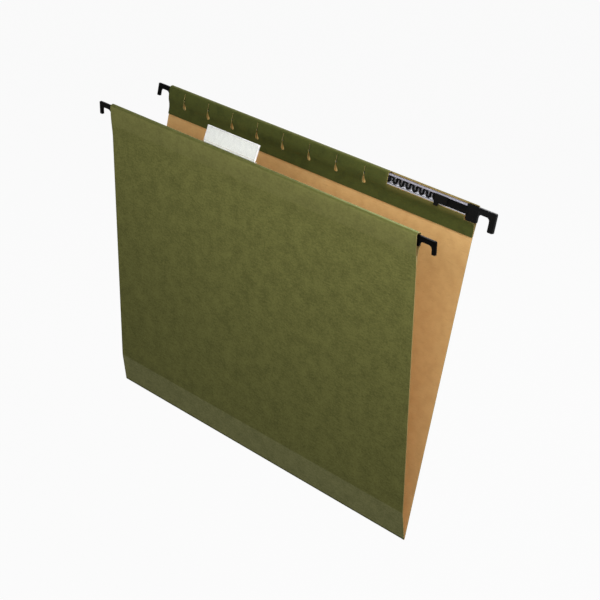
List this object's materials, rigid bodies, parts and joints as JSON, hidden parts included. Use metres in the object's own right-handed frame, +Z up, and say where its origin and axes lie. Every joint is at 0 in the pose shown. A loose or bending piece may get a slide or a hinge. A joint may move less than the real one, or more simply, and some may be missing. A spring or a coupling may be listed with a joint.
{
  "type": "hanging file folder",
  "caption": "Letter-size hanging folder: a creased board sheet hemmed over spring-hook rails, with a clear index tab, hung open on drawer rails.",
  "frame": {"origin": "midway between the folder's two rods, at the height where the four hooks sit on the drawer rails", "axes": "+X along the rods to the right, +Y from the front panel to the back panel, +Z up"},
  "size_m": [0.3294, 0.0619, 0.2459],
  "materials": {
    "green_board": "matte",
    "adhesive": "satin",
    "rail_steel": "satin",
    "black_plastic": "satin",
    "clear_plastic": "gloss",
    "label_paper": "matte"
  },
  "bodies": {
    "back": {"back_panel": "green_board", "back_hem_flap": "green_board", "back_hem_glue": "adhesive", "back_rail": "rail_steel", "back_left_spring": "black_plastic", "back_left_spring_anchor": "black_plastic", "back_right_spring": "black_plastic", "back_right_spring_anchor": "black_plastic"},
    "bottom_strip": {"front_bottom_strip": "green_board"},
    "front": {"front_panel": "green_board", "front_hem_flap": "green_board", "front_hem_glue": "adhesive", "front_rail": "rail_steel", "index_tab_foot": "clear_plastic", "front_left_spring": "black_plastic", "front_left_spring_anchor": "black_plastic", "front_right_spring": "black_plastic", "front_right_spring_anchor": "black_plastic"},
    "tab": {"index_tab_sleeve": "clear_plastic"},
    "label": {"label_insert": "label_paper"},
    "front_left_hook": {"front_left_hook": "black_plastic"},
    "front_right_hook": {"front_right_hook": "black_plastic"},
    "back_left_hook": {"back_left_hook": "black_plastic"},
    "back_right_hook": {"back_right_hook": "black_plastic"}
  },
  "joints": [
    {"name": "bottom_fold", "type": "hinge", "parent": "back", "child": "bottom_strip", "pos_m": [0, -0.0263, -0.2297], "axis": [1, 0, 0], "range_deg": [-8, 159]},
    {"name": "front_score", "type": "hinge", "parent": "bottom_strip", "child": "front", "pos_m": [0, -0.0293, -0.2065], "axis": [1, 0, 0], "range_deg": [-2, 6.8]},
    {"name": "tab_tilt", "type": "hinge", "parent": "front", "child": "tab", "pos_m": [-0.0263, -0.02565, 0.005], "axis": [1, 0, 0], "range_deg": [-30, 24], "stiffness_Nm_per_rad": 0.004},
    {"name": "label_slide", "type": "slide", "parent": "tab", "child": "label", "axis": [1, 0, 0], "range_m": [0, 0.05]},
    {"name": "front_left_hook_pull", "type": "slide", "parent": "front", "child": "front_left_hook", "axis": [-1, 0, 0], "range_m": [0, 0.008], "stiffness_N_per_m": 120, "springref_m": -0.0025, "deforming": ["front_left_spring"]},
    {"name": "front_right_hook_pull", "type": "slide", "parent": "front", "child": "front_right_hook", "axis": [1, 0, 0], "range_m": [0, 0.008], "stiffness_N_per_m": 120, "springref_m": -0.0025, "deforming": ["front_right_spring"]},
    {"name": "back_left_hook_pull", "type": "slide", "parent": "back", "child": "back_left_hook", "axis": [-1, 0, 0], "range_m": [0, 0.008], "stiffness_N_per_m": 120, "springref_m": -0.0025, "deforming": ["back_left_spring"]},
    {"name": "back_right_hook_pull", "type": "slide", "parent": "back", "child": "back_right_hook", "axis": [1, 0, 0], "range_m": [0, 0.008], "stiffness_N_per_m": 120, "springref_m": -0.0025, "deforming": ["back_right_spring"]}
  ]
}
